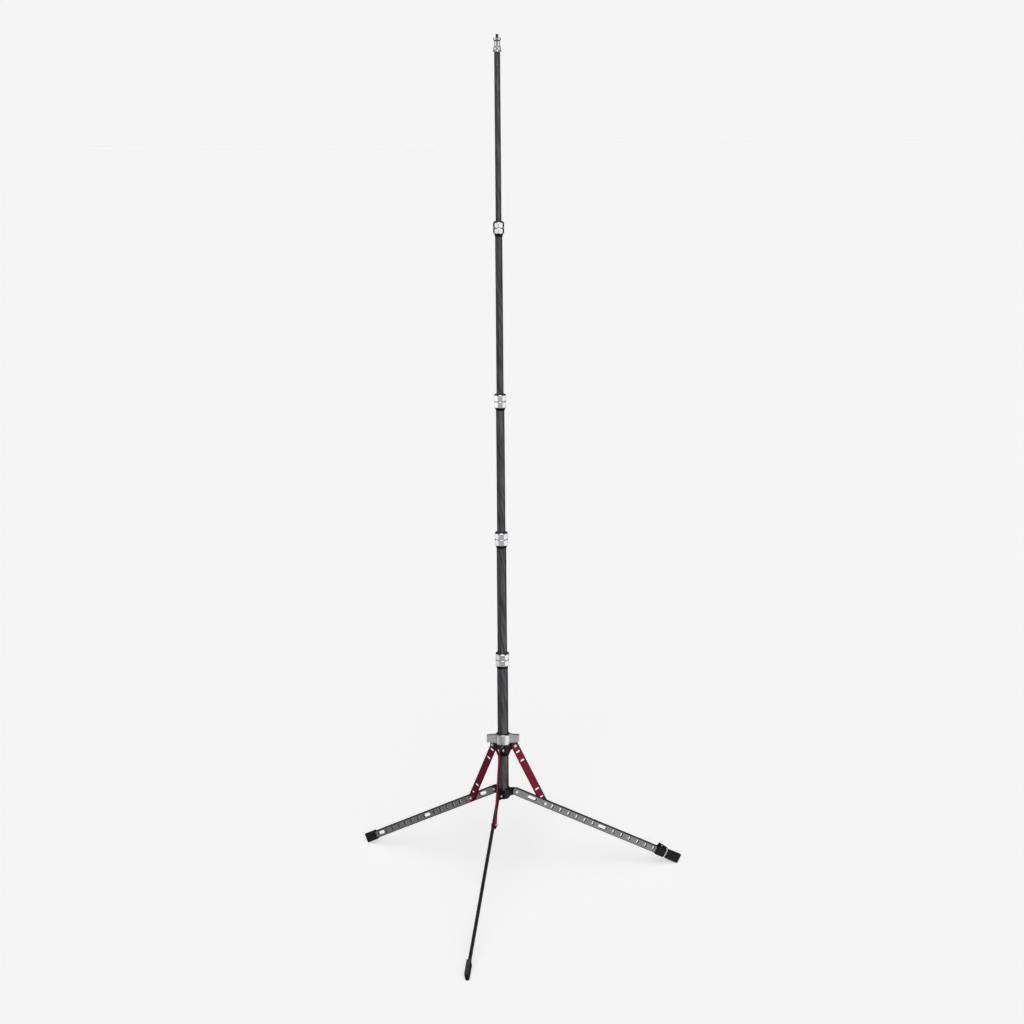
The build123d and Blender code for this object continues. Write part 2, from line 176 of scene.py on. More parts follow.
def inside(poly, x, y):
    c = False
    n = len(poly)
    for i in range(n):
        x1, y1 = poly[i][0], poly[i][1]
        x2, y2 = poly[(i + 1) % n][0], poly[(i + 1) % n][1]
        if (y1 > y) != (y2 > y) and x < (x2 - x1) * (y - y1) / (y2 - y1) + x1:
            c = not c
    return c


def cap_tris(loops):
    """Triangles between an outer loop and its holes; indices run through the loops in order."""
    co, edges = [], []
    for lp in loops:
        o = len(co)
        co += [Vector((p[0], p[1])) for p in lp]
        edges += [(o + i, o + (i + 1) % len(lp)) for i in range(len(lp))]
    v, e, f, ov, oe, of = delaunay_2d_cdt(co, edges, [], 0, 1e-7)
    back = [o[0] if o else None for o in ov]
    tris = []
    for t in f:
        cx = sum(v[i].x for i in t) / 3
        cy = sum(v[i].y for i in t) / 3
        if not inside(loops[0], cx, cy) or any(inside(h, cx, cy) for h in loops[1:]):
            continue
        ids = [back[i] for i in t]
        if None in ids:
            raise RuntimeError("cap triangulation made a new vertex")
        tris.append(tuple(ids))
    return tris


def arc_slot(x, y, length, width, rot=0.0, seg=8):
    """Rounded slot loop, counter-clockwise, with outward normals."""
    r = width / 2
    h = length / 2 - r
    out = []
    for side in (0, 1):
        cx = h if side == 0 else -h
        for j in range(seg + 1):
            a = -math.pi / 2 + math.pi * j / seg + (math.pi if side else 0)
            out.append((cx + r * math.cos(a), r * math.sin(a), math.cos(a), math.sin(a)))
    c, s = math.cos(rot), math.sin(rot)
    return [(x + a * c - b * s, y + a * s + b * c, nx * c - ny * s, nx * s + ny * c) for a, b, nx, ny in out]


def circle(x, y, r, seg=24):
    return [(x + r * math.cos(a), y + r * math.sin(a), math.cos(a), math.sin(a))
            for a in (2 * math.pi * k / seg for k in range(seg))]


def plate(name, outer, holes, y0, y1, b, mat, body, M, nodes=(), hole_b=None, bs=3):
    """Flat plate in local XZ between two local Y planes, with rounded edges round its rim and holes."""
    hole_b = b if hole_b is None else hole_b
    verts, norms, faces = [], [], []
    caps = {1: [], -1: []}
    for li, lp in enumerate([outer] + list(holes)):
        bb = b if li == 0 else hole_b
        sgn = 1 if li == 0 else -1
        rings = []
        for side in (1, -1):
            seq = []
            for j in range(bs + 1):
                ph = math.pi / 2 * j / bs
                off = bb * (1 - math.sin(ph))
                dy = bb * (1 - math.cos(ph))
                y = (y1 - dy) if side > 0 else (y0 + dy)
                ring = []
                for (x, z, nx, nz) in lp:
                    nx, nz = nx * sgn, nz * sgn
                    ring.append(len(verts))
                    verts.append((x - nx * off, y, z - nz * off))
                    norms.append((nx * math.sin(ph), side * math.cos(ph), nz * math.sin(ph)))
                seq.append(ring)
            caps[side].append(seq[0])
            rings.append(seq)
        chain = rings[0] + list(reversed(rings[1]))
        n = len(lp)
        for A, B in zip(chain[:-1], chain[1:]):
            for k in range(n):
                k2 = (k + 1) % n
                faces.append((A[k], A[k2], B[k2], B[k]))
    for side in (1, -1):
        flat = [i for ring in caps[side] for i in ring]
        loops = [[(verts[i][0], verts[i][2]) for i in ring] for ring in caps[side]]
        for t in cap_tris(loops):
            f = tuple(flat[i] for i in t)
            faces.append(f if side > 0 else f[::-1])
    return finish_mesh(name, verts, faces, norms, M, mat, body, nodes)


def loft(name, sections, mat, body, M, nodes=(), cs=5, clamp=None, y_off=0.0):
    """Rounded-rectangle tube along local X: sections (x, half_y, half_z, corner). Ends closed."""
    verts, faces = [], []
    rows = []
    for (x, hy, hz, rc) in sections:
        rc = min(rc, hy * 0.999, hz * 0.999)
        row = []
        for q in range(4):
            cy = (hy - rc) * (1 if q in (0, 3) else -1)
            cz = (hz - rc) * (1 if q in (0, 1) else -1)
            for j in range(cs + 1):
                a = math.pi / 2 * (q + j / cs)
                row.append(len(verts))
                verts.append((x, y_off + cy + rc * math.cos(a), cz + rc * math.sin(a)))
        rows.append(row)
    n = len(rows[0])
    for A, B in zip(rows[:-1], rows[1:]):
        for k in range(n):
            k2 = (k + 1) % n
            faces.append((A[k], A[k2], B[k2], B[k]))
    faces.append(tuple(reversed(rows[0])))
    faces.append(tuple(rows[-1]))
    ob = finish_mesh(name, verts, faces, None, M, mat, body, nodes)
    if clamp is not None:
        for v in ob.data.vertices:
            if v.co.z < clamp:
                v.co.z = clamp
        ob.data.update()
    return ob


def heightfield(name, rfun, zs, seg, bore, mat, body, nodes=(), M=None, solid_top=False, th0=0.0):
    """Closed ring whose outer radius is rfun(theta, z); bore is the inner radius, or None for a solid."""
    M = M or Matrix.Identity(4)
    verts, norms, faces, rows = [], [], [], []
    e = 1e-3
    for z in zs:
        row = []
        for k in range(seg):
            a = th0 + 2 * math.pi * k / seg
            r = rfun(a, z)
            drt = (rfun(a + e, z) - rfun(a - e, z)) / (2 * e)
            z1, z2 = max(z - 0.01, zs[0]), min(z + 0.01, zs[-1])
            drz = (rfun(a, z2) - rfun(a, z1)) / (z2 - z1)
            n = Vector((1.0, -drt / r, -drz)).normalized()
            ca, sa = math.cos(a), math.sin(a)
            row.append(len(verts))
            verts.append((r * ca, r * sa, z))
            norms.append((n.x * ca - n.y * sa, n.x * sa + n.y * ca, n.z))
        rows.append(row)
    n = seg

    def ring(r, z, nz, nr=0.0):
        row = []
        for k in range(seg):
            a = th0 + 2 * math.pi * k / seg
            row.append(len(verts))
            verts.append((r * math.cos(a), r * math.sin(a), z))
            norms.append((nr * math.cos(a), nr * math.sin(a), nz))
        return row

    def dup(row, nz):
        new = []
        for i in row:
            new.append(len(verts))
            verts.append(verts[i]); norms.append((0, 0, nz))
        return new
    for A, B in zip(rows[:-1], rows[1:]):
        for k in range(n):
            faces.append((A[k], A[(k + 1) % n], B[(k + 1) % n], B[k]))
    if bore:
        lo, hi = rows[0], rows[-1]
        ilo, ihi = ring(bore, zs[0], 0, -1.0), ring(bore, zs[-1], 0, -1.0)
        for A, B in ((hi, ihi), (ihi, ilo), (ilo, lo)):
            for k in range(n):
                faces.append((A[k], A[(k + 1) % n], B[(k + 1) % n], B[k]))
    else:
        for row, zc, nz in ((rows[0], zs[0], -1), (rows[-1], zs[-1], 1)):
            c = len(verts)
            verts.append((0, 0, zc)); norms.append((0, 0, nz))
            for k in range(n):
                faces.append((row[k], row[(k + 1) % n], c))
    return finish_mesh(name, verts, faces, norms, M, mat, body, nodes)


def smin(a, b, k):
    h = max(k - abs(a - b), 0.0) / k
    return min(a, b) - h * h * k * 0.25


# ------------------------------------------------------------------ materials
class Mat:
    """Small helper around a Principled material."""

    def __init__(self, name, **kw):
        self.m = bpy.data.materials.new(name)
        self.m.use_nodes = True
        self.nt = self.m.node_tree
        self.p = self.nt.nodes["Principled BSDF"]
        for k, v in kw.items():
            self.p.inputs[k.replace("_", " ")].default_value = v

    def n(self, kind, **kw):
        x = self.nt.nodes.new(kind)
        for k, v in kw.items():
            setattr(x, k, v)
        return x

    def link(self, a, b):
        self.nt.links.new(a, b)

    def math(self, op, a, b=None, c=None, clamp=False):
        x = self.n("ShaderNodeMath", operation=op, use_clamp=clamp)
        for i, v in enumerate((a, b, c)):
            if v is None:
                continue
            if isinstance(v, (int, float)):
                x.inputs[i].default_value = v
            else:
                self.link(v, x.inputs[i])
        return x.outputs[0]

    def dot(self, vec, d):
        x = self.n("ShaderNodeVectorMath", operation="DOT_PRODUCT")
        self.link(vec, x.inputs[0])
        x.inputs[1].default_value = tuple(d)
        return x.outputs["Value"]

    def obj(self):
        return self.n("ShaderNodeTexCoord").outputs["Object"]

    def local(self, M):
        """Object coordinates in mm in a piece's own axes (x along it)."""
        src = self.obj()
        R = M.to_3x3()
        t = M.translation
        outs = []
        for i in range(3):
            ax = R.col[i]
            outs.append(self.math("MULTIPLY", self.math("SUBTRACT", self.dot(src, ax), float(ax.dot(t))), 1000.0))
        c = self.n("ShaderNodeCombineXYZ")
        for i in range(3):
            self.link(outs[i], c.inputs[i])
        return c.outputs[0], outs

    def scaled(self, vec, s):
        x = self.n("ShaderNodeVectorMath", operation="MULTIPLY")
        self.link(vec, x.inputs[0])
        x.inputs[1].default_value = s
        return x.outputs[0]

    def noise(self, vec, scale, detail=3.0, rough=0.5):
        x = self.n("ShaderNodeTexNoise")
        x.inputs["Scale"].default_value = scale
        x.inputs["Detail"].default_value = detail
        x.inputs["Roughness"].default_value = rough
        self.link(vec, x.inputs["Vector"])
        return x.outputs["Fac"]

    def remap(self, v, a, b, c, d):
        x = self.n("ShaderNodeMapRange")
        x.inputs[1].default_value, x.inputs[2].default_value = a, b
        x.inputs[3].default_value, x.inputs[4].default_value = c, d
        self.link(v, x.inputs[0])
        return x.outputs[0]

    def mixc(self, fac, a, b):
        x = self.n("ShaderNodeMix", data_type="RGBA")
        for key, v in ((0, fac), (6, a), (7, b)):
            if isinstance(v, (tuple, list)):
                x.inputs[key].default_value = (*v, 1.0) if len(v) == 3 else v
            elif isinstance(v, (int, float)):
                x.inputs[key].default_value = v
            else:
                self.link(v, x.inputs[key])
        return x.outputs[2]

    def bump(self, h, strength, dist, normal=None):
        x = self.n("ShaderNodeBump")
        x.inputs["Strength"].default_value = strength
        x.inputs["Distance"].default_value = dist
        self.link(h, x.inputs["Height"])
        if normal is not None:
            self.link(normal, x.inputs["Normal"])
        return x.outputs[0]

    def edge(self, radius):
        """0 on flats, towards 1 on edges."""
        bv = self.n("ShaderNodeBevel", samples=4)
        bv.inputs["Radius"].default_value = radius
        g = self.n("ShaderNodeNewGeometry")
        x = self.n("ShaderNodeVectorMath", operation="DOT_PRODUCT")
        self.link(bv.outputs[0], x.inputs[0])
        self.link(g.outputs["Normal"], x.inputs[1])
        return self.remap(x.outputs["Value"], 1.0, 0.86, 0.0, 1.0)

    def set(self, name, out):
        self.link(out, self.p.inputs[name])


CARBON_DARK, CARBON_LIGHT = (0.030, 0.030, 0.032), (0.165, 0.165, 0.172)


def carbon(R):
    """2/2 twill under a thin satin coat, with the soft spiral banding of a wrapped tube."""
    k = Mat(f"carbon_tube_{int(R * 20)}", IOR=1.5)
    xyz = k.n("ShaderNodeSeparateXYZ")
    k.link(k.obj(), xyz.inputs[0])
    ang = k.math("ARCTAN2", xyz.outputs[1], xyz.outputs[0])
    tow = 2.2
    cells = max(8, int(round(2 * math.pi * R / tow / 4)) * 4)
    u = k.math("MULTIPLY", k.math("ADD", ang, math.pi), cells / (2 * math.pi))
    v = k.math("MULTIPLY", xyz.outputs[2], 1000.0 / tow)
    fu, fv = k.math("FLOOR", u), k.math("FLOOR", v)
    ru, rv = k.math("SUBTRACT", u, fu), k.math("SUBTRACT", v, fv)
    s = k.math("MODULO", k.math("ADD", k.math("ADD", fu, fv), 4000.0), 4.0)
    warp = k.math("LESS_THAN", s, 1.5)
    # crown of the tow on top
    cu = k.math("SINE", k.math("MULTIPLY", ru, math.pi))
    cv = k.math("SINE", k.math("MULTIPLY", rv, math.pi))
    hgt = k.math("ADD", k.math("MULTIPLY", warp, cu), k.math("MULTIPLY", k.math("SUBTRACT", 1.0, warp), cv))
    # fibre streaks along each tow
    cyl = k.n("ShaderNodeCombineXYZ")
    k.link(u, cyl.inputs[0]); k.link(v, cyl.inputs[1])
    f1 = k.noise(k.scaled(cyl.outputs[0], (7.0, 0.6, 1.0)), 1.0, 4.0, 0.7)
    f2 = k.noise(k.scaled(cyl.outputs[0], (0.6, 7.0, 1.0)), 1.0, 4.0, 0.7)
    fib = k.math("ADD", k.math("MULTIPLY", warp, f1), k.math("MULTIPLY", k.math("SUBTRACT", 1.0, warp), f2))
    # long steep streaks where the wrapped sheet laps over itself
    lap = k.math("ADD", u, k.math("MULTIPLY", v, 0.22))
    streak = k.n("ShaderNodeCombineXYZ")
    k.link(lap, streak.inputs[0]); k.link(k.math("MULTIPLY", v, 0.05), streak.inputs[1])
    wide = k.noise(k.scaled(streak.outputs[0], (0.42, 0.6, 1.0)), 1.0, 3.0, 0.6)
    tone = k.math("ADD", k.math("MULTIPLY", fib, 0.30), k.math("MULTIPLY", k.math("SUBTRACT", 1.0, warp), 0.14))
    tone = k.math("ADD", tone, k.math("MULTIPLY", k.math("SUBTRACT", wide, 0.42), 2.2))
    col = k.mixc(k.remap(tone, -0.1, 0.75, 0.0, 1.0), CARBON_DARK, CARBON_LIGHT)
    k.set("Base Color", col)
    k.p.inputs["Metallic"].default_value = 0.85
    k.set("Roughness", k.remap(fib, 0.2, 0.8, 0.36, 0.47))
    k.p.inputs["Specular Tint"].default_value = (0.10, 0.10, 0.10, 1.0)
    k.p.inputs["Anisotropic"].default_value = 0.85
    k.p.inputs["Anisotropic Rotation"].default_value = 0.25
    k.p.inputs["Coat Weight"].default_value = 0.15
    k.p.inputs["Coat Roughness"].default_value = 0.25
    k.p.inputs["Coat IOR"].default_value = 1.45
    k.set("Normal", k.bump(k.math("ADD", k.math("MULTIPLY", hgt, 0.7), k.math("MULTIPLY", fib, 0.3)), 0.25, 0.00008))
    return k.m


def turned_metal(name, col, rough, line=0.35, var=0.10, facet=None):
    """Satin anodised aluminium with fine lathe lines running round the Z axis."""
    k = Mat(name, Metallic=1.0)
    k.p.inputs["Specular Tint"].default_value = (0.40, 0.40, 0.40, 1.0)
    src = k.obj()
    mmv = k.scaled(src, (1000.0, 1000.0, 1000.0))
    lines = k.noise(k.scaled(mmv, (0.02, 0.02, 9.0)), 1.0, 4.0, 0.65)
    grain = k.noise(mmv, 14.0, 3.0, 0.6)
    cloud = k.noise(mmv, 0.10, 3.0, 0.5)
    t = k.math("ADD", k.math("MULTIPLY", k.math("SUBTRACT", lines, 0.5), 0.5), k.math("MULTIPLY", k.math("SUBTRACT", cloud, 0.5), 0.8))
    dark = tuple(c * (1 - var) for c in col)
    light = tuple(min(1.0, c * (1 + var)) for c in col)
    base = k.mixc(k.remap(t, -0.35, 0.35, 0.0, 1.0), dark, light)
    e = k.edge(0.0005)
    base = k.mixc(k.math("MULTIPLY", e, 0.35), base, (0.93, 0.93, 0.94))
    k.set("Base Color", base)
    k.set("Roughness", k.remap(k.math("ADD", lines, k.math("MULTIPLY", grain, 0.5)), 0.4, 1.1, rough * 0.8, rough * 1.25))
    k.set("Normal", k.bump(k.math("ADD", lines, k.math("MULTIPLY", grain, 0.3)), line, 0.00003))
    return k.m


def drawn_metal(name, M, col, rough, var=0.12, worn=(0.62, 0.62, 0.64), wear=0.35, metallic=1.0, fine=1.0,
                half=None, band=2.0, mid=None, skin=None):
    """Anodised drawn or rolled bar: faint lines along the piece's own X, small pits, paler edges.
    half, band: a painted shade, a black upper edge that wide on a bar that high; mid, skin: a painted shade, a black
    inside under that much wall."""
    k = Mat(name, Metallic=metallic)
    vec, (lx, ly, lz) = k.local(M)
    lines = k.noise(k.scaled(vec, (0.03, 4.5, 4.5)), 1.0 * fine, 4.0, 0.6)
    grain = k.noise(vec, 9.0, 3.0, 0.6)
    cloud = k.noise(vec, 0.045, 3.0, 0.55)
    t = k.math("ADD", k.math("MULTIPLY", k.math("SUBTRACT", lines, 0.5), 0.7), k.math("SUBTRACT", cloud, 0.5))
    dark = tuple(c * (1 - var) for c in col)
    light = tuple(min(1.0, c * (1 + var)) for c in col)
    base = k.mixc(k.remap(t, -0.4, 0.4, 0.0, 1.0), dark, light)
    e = k.math("MULTIPLY", k.edge(0.0006), k.remap(k.noise(vec, 0.35, 4.0, 0.7), 0.42, 0.66, 0.2, 1.0))
    base = k.mixc(k.math("MULTIPLY", e, wear), base, worn)
    # painted shade colour, used for the black upper edge and the black inside of a bar
    painted_shade_black = (0.0075, 0.0075, 0.0078)
    # painted shade: a black, non-metallic band along the upper edge stands in for the shade on the bar's rounded top
    if half is not None:
        ragged = k.math("MULTIPLY", k.math("SUBTRACT", k.noise(k.scaled(vec, (0.12, 1.0, 1.0)), 1.0, 3.0, 0.6), 0.5), 0.5)
        rim = k.remap(k.math("ADD", lz, ragged), half - band - 0.2, half - band + 0.2, 0.0, 1.0)
        base = k.mixc(k.math("MULTIPLY", rim, 0.99), base, painted_shade_black)
        k.set("Metallic", k.math("MULTIPLY", k.math("SUBTRACT", 1.0, rim), metallic))
    # painted shade: surfaces inside the hollow bar, under that much wall, are made black
    if skin is not None:
        iy = k.remap(k.math("ABSOLUTE", k.math("SUBTRACT", ly, mid)), skin[0], skin[0] + 0.2, 1.0, 0.0)
        iz = k.remap(k.math("ABSOLUTE", lz), skin[1], skin[1] + 0.2, 1.0, 0.0)
        base = k.mixc(k.math("MULTIPLY", iy, iz), base, painted_shade_black)
    k.set("Base Color", base)
    k.set("Roughness", k.remap(k.math("ADD", lines, k.math("MULTIPLY", grain, 0.6)), 0.4, 1.2, rough * 0.85, rough * 1.2))
    k.set("Normal", k.bump(k.math("ADD", lines, k.math("MULTIPLY", grain, 0.6)), 0.25, 0.00004))
    return k.m


def moulded(name, col, rough, grain_mm=0.5, depth=0.00006, strength=0.5, var=0.25, spec=0.5, edge_tone=1.8):
    """Moulded plastic or cast and coated metal: fine pebble texture, slightly polished edges."""
    k = Mat(name)
    mmv = k.scaled(k.obj(), (1000.0, 1000.0, 1000.0))
    vo = k.n("ShaderNodeTexVoronoi", feature="SMOOTH_F1")
    vo.inputs["Scale"].default_value = 1.0 / grain_mm
    vo.inputs["Smoothness"].default_value = 0.6
    k.link(mmv, vo.inputs["Vector"])
    peb = vo.outputs["Distance"]
    fine = k.noise(mmv, 5.0, 4.0, 0.6)
    cloud = k.noise(mmv, 0.12, 3.0, 0.5)
    dark = tuple(c * (1 - var) for c in col)
    light = tuple(c * (1 + var) for c in col)
    base = k.mixc(k.remap(k.math("ADD", k.math("MULTIPLY", cloud, 0.7), k.math("MULTIPLY", fine, 0.3)), 0.35, 0.65, 0.0, 1.0), dark, light)
    e = k.edge(0.0008)
    base = k.mixc(k.math("MULTIPLY", e, 0.5), base, tuple(c * edge_tone for c in col))
    k.set("Base Color", base)
    k.p.inputs["Specular IOR Level"].default_value = spec
    k.set("Roughness", k.remap(k.math("ADD", fine, k.math("MULTIPLY", e, -0.3)), 0.2, 0.8, rough * 0.85, rough * 1.15))
    k.set("Normal", k.bump(k.math("ADD", peb, k.math("MULTIPLY", fine, 0.4)), strength, depth))
    return k.m


def rubber(name, col=(0.0085, 0.0085, 0.009), rough=0.60):
    """Moulded rubber: soft dusty bloom, tiny pits, and a painted light on faces that look up."""
    k = Mat(name)
    mmv = k.scaled(k.obj(), (1000.0, 1000.0, 1000.0))
    cloud = k.noise(mmv, 0.22, 5.0, 0.65)
    pits = k.noise(mmv, 7.0, 4.0, 0.7)
    base = k.mixc(k.remap(cloud, 0.4, 0.72, 0.0, 1.0), col, tuple(c * 2.1 + 0.004 for c in col))
    e = k.edge(0.0012)
    base = k.mixc(k.math("MULTIPLY", e, 0.35), base, (0.045, 0.045, 0.047))
    # painted light: faces that look up are made lighter, standing in for light from above
    up = k.dot(k.n("ShaderNodeNewGeometry").outputs["Normal"], (0, 0, 1))
    painted_top_light = k.math("MULTIPLY", k.remap(up, 0.55, 0.88, 0.0, 1.0), k.remap(k.noise(mmv, 0.11, 4.0, 0.7), 0.3, 0.65, 0.55, 1.0))
    base = k.mixc(painted_top_light, base, (0.070, 0.070, 0.072))
    k.set("Base Color", base)
    k.p.inputs["Specular IOR Level"].default_value = 0.22
    k.set("Roughness", k.remap(cloud, 0.3, 0.7, rough * 0.9, rough * 1.15))
    k.set("Normal", k.bump(pits, 0.45, 0.00008))
    return k.m


ALU_NUT = turned_metal("lock_nut_satin", (0.80, 0.80, 0.82), 0.22, line=0.30, var=0.06)
ALU_KNOB = turned_metal("knob_satin", (0.82, 0.82, 0.84), 0.36, line=0.20, var=0.05)
ALU_STUD = turned_metal("stud_machined", (0.68, 0.68, 0.69), 0.17, line=0.45, var=0.08)
STEEL = turned_metal("bolt_steel", (0.72, 0.72, 0.74), 0.26, line=0.30, var=0.08)
STEEL_DULL = turned_metal("nut_zinc_dull", (0.46, 0.46, 0.47), 0.34, line=0.25, var=0.12)
BLACK_OXIDE = turned_metal("screw_black_oxide", (0.018, 0.018, 0.019), 0.38, line=0.25, var=0.25)
BLACK_CAST = moulded("black_coated_casting", (0.0055, 0.0055, 0.006), 0.36, grain_mm=0.45, strength=0.35, spec=0.26, edge_tone=3.0)
BLACK_MOULD = moulded("black_moulded_plastic", (0.006, 0.006, 0.0063), 0.40, grain_mm=0.35, strength=0.30, spec=0.20, edge_tone=3.0)
NYLON = moulded("bush_nylon", (0.16, 0.16, 0.16), 0.5, grain_mm=0.8, strength=0.2)
RUBBER = rubber("foot_rubber")
BAR_GREY = turned_metal("bar_satin", (0.62, 0.62, 0.64), 0.34, line=0.2, var=0.08)

# ------------------------------------------------------------------ frames of the three legs, from the joints
LEGS = {}
for side in ("front", "right", "left"):
    j = JOINTS[f"leg_{side}_fold"]
    pr = -Vector(j["axis"]).normalized()
    dr = Vector((pr.y, -pr.x, 0)).normalized()
    P = Vector(j["pos_m"])
    slope = math.asin(-Vector(JOINTS["leveller_slide"]["axis"]).normalized().z)
    ax = dr * math.cos(slope) - Z * math.sin(slope)
    up = dr * math.sin(slope) + Z * math.cos(slope)
    M = Matrix(((ax.x, pr.x, up.x, P.x), (ax.y, pr.y, up.y, P.y), (ax.z, pr.z, up.z, P.z), (0, 0, 0, 1)))
    js = JOINTS[f"strut_{side}_swing"]
    S0 = Vector(js["pos_m"])
    low = M @ Vector((A_STRUT * MM, 0, 0))
    sd = (low - S0)
    sl = sd.length
    sd.normalize()
    su = pr.cross(sd) * -1.0
    su = sd.cross(pr).normalized()
    MS = Matrix(((sd.x, pr.x, su.x, S0.x), (sd.y, pr.y, su.y, S0.y), (sd.z, pr.z, su.z, S0.z), (0, 0, 0, 1)))
    H = Matrix(((dr.x, pr.x, 0, 0), (dr.y, pr.y, 0, 0), (0, 0, 1, 0), (0, 0, 0, 1)))
    LEGS[side] = dict(M=M, MS=MS, sl=sl / MM, pr=pr, dr=dr, P=P, S0=S0, H=H)

# ------------------------------------------------------------------ pole tubes
for i in range(5):
    n = f"tube_{i + 1}"
    z0, z1 = zspan(n)
    ro = TUBE_OD[i] / 2
    ri = ro - TUBE_WALL
    lathe(f"carbon_{n}", [(ri, z0), (ro, z0), (ro, z1), (ri, z1)], 0.25, carbon(ro),
          "base" if i == 0 else f"section_{i + 1}", [n], seg=128)

# ------------------------------------------------------------------ twist locks
for i in range(4):
    z0, z1 = zspan(f"lock_nut_{i + 1}")
    z = (z0 + z1) / 2
    hh, af = LOCK_HALF[i], LOCK_AF[i]
    ro, ri = TUBE_OD[i] / 2, TUBE_OD[i + 1] / 2
    sleeve = ro + LOCK_SLEEVE
    body = "base" if i == 0 else f"section_{i + 1}"
    apo = af / 2
    cor = apo / math.cos(math.pi / 8)
    gd = cor - apo + 0.55
    ph = 0.0 if i == 3 else math.pi / 8

    def nut_r(a, zz, apo=apo, cor=cor, gd=gd, ph=ph, z=z, hh=hh):
        t = (a - ph) % (math.pi / 4)
        t = t - math.pi / 8
        o = apo / math.cos(t)
        o = smin(o, cor - 0.12, 0.22)
        d = abs(zz - z)
        env = cor - gd + max(d - 0.12, 0.0) / (2.1 - 0.12) * (gd + 0.05)
        top = hh - d
        env2 = apo - 0.9 + max(top, 0.0) / 2.4 * (cor + 0.05 - (apo - 0.9))
        r = smin(o, env, 0.25)
        r = smin(r, env2, 0.30)
        # rolled-over outer edge at each end
        if top < 0.35:
            r -= (0.35 - top) ** 2 * 1.1
        return r
    zs = []
    prev = None
    steps = ([-hh, -hh + .06, -hh + .14, -hh + .24, -hh + .36] + [-hh + .36 + .17 * q for q in range(1, 17)])
    mid = [-2.2 + 0.16 * q for q in range(0, 28)]
    lin = [-hh + 3.2 + (hh - 3.2 - 2.3) * q / 10 for q in range(0, 11)]
    allz = sorted(set([round(v, 4) for v in steps + lin + mid] + [round(-v, 4) for v in steps + lin + mid]))
    zs = [z + v for v in allz if -hh - 1e-6 <= v <= hh + 1e-6]
    heightfield(f"nut_{i + 1}", nut_r, zs, 240, sleeve + 0.08, ALU_NUT, f"nut_{i + 1}", [f"lock_nut_{i + 1}"],
                th0=ph)
    # the web that closes the nut above the collet, under the wiper ring
    lathe(f"nut_web_{i + 1}", [(ri + 0.35, z + hh - 2.0), (sleeve + 0.12, z + hh - 2.0), (sleeve + 0.12, z + hh - 0.02),
                               (ri + 0.35, z + hh - 0.02)], 0.1, ALU_NUT, f"nut_{i + 1}", seg=96)
    # wiper ring: a soft lip leaning in to the tube
    lathe(f"wiper_{i + 1}", [(ri + 0.3, z + hh), (apo - 1.0, z + hh), (apo - 1.0, z + hh + 0.55), (apo - 2.0, z + hh + 1.15),
                             (ri + 1.3, z + hh + 1.2), (ri + 0.75, z + hh + 1.6), (ri + 0.3, z + hh + 1.6)],
          [0.05, 0.05, 0.25, 0.3, 0.25, 0.2, 0.15], RUBBER, f"nut_{i + 1}", [f"lock_ring_{i + 1}"], seg=96)
    cr = BASE_COLLAR_R[i]
    zb = z - hh
    lathe(f"collar_{i + 1}", [(ro, zb - 6.0), (ro + 0.5, zb - 6.0), (ro + 0.62, zb - 5.2), (cr, zb - 1.5), (cr, zb - 0.1),
                              (sleeve, zb - 0.1), (sleeve, z + 2.0), (ro, z + 2.0)],
          [0.1, 0.25, 0.3, 0.5, 0.25, 0.1, 0.2, 0.1], BLACK_MOULD, body, [f"lock_base_{i + 1}"], seg=112)

# ------------------------------------------------------------------ stud and threaded tip
z0, z1 = zspan("stud")
zf = z0 + 22.0
T = z1 - 1962.5
lathe("stud_body", [(0, z0), (3.0, z0), (3.0, zf), (9.75, zf), (9.75, zf + 1.0), (8.6, zf + 2.4), (7.6, zf + 2.8),
                    (7.6, 1937.8 + T), (7.95, 1938.2 + T), (7.95, 1942.6 + T), (7.5, 1943.2 + T), (6.15, 1944.4 + T),
                    (6.15, 1955.4 + T), (7.95, 1958.0 + T), (7.95, 1961.9 + T), (7.35, 1962.5 + T), (3.175, 1962.5 + T),
                    (2.4, 1962.2 + T), (2.4, 1950.0 + T), (0, 1950.0 + T)],
      [0, 0.3, 0.1, 0.2, 0.35, 0.4, 0.3, 0.15, 0.15, 0.25, 0.3, 0.8, 0.8, 0.25, 0.25, 0.2, 0.15, 0.1, 0.1, 0],
      ALU_STUD, "section_5", ["stud"], seg=112)
z0, z1 = zspan("stud_screw")
PITCH = 1.27
ZS = 1962.5 + T


def thread_r(a, zz):
    base = 3.175
    ph = ((zz - ZS) / PITCH - a / (2 * math.pi)) % 1.0
    tri = abs(2 * ph - 1)                     # 1 at the crest edges, 0 at mid
    d = 0.62 * max(0.0, min(1.0, (tri - 0.12) / 0.76))
    fade = max(0.0, min(1.0, (zz - ZS - 0.5) / 0.9))
    r = base - d * fade
    top = z1 - zz
    lim = 3.175 - max(0.0, 0.75 - top) * 0.95
    return smin(r, lim, 0.08)


zs = [ZS + (z1 - ZS) * q / 110 for q in range(111)]
heightfield("top_screw_thread", thread_r, zs, 72, None, BLACK_OXIDE, "section_5", ["stud_screw"])
lathe("top_screw_stem", [(0, z0), (2.35, z0), (2.35, ZS - 0.05), (0, ZS - 0.05)], [0, 0.2, 0.05, 0], BLACK_OXIDE, "section_5",
      seg=48)

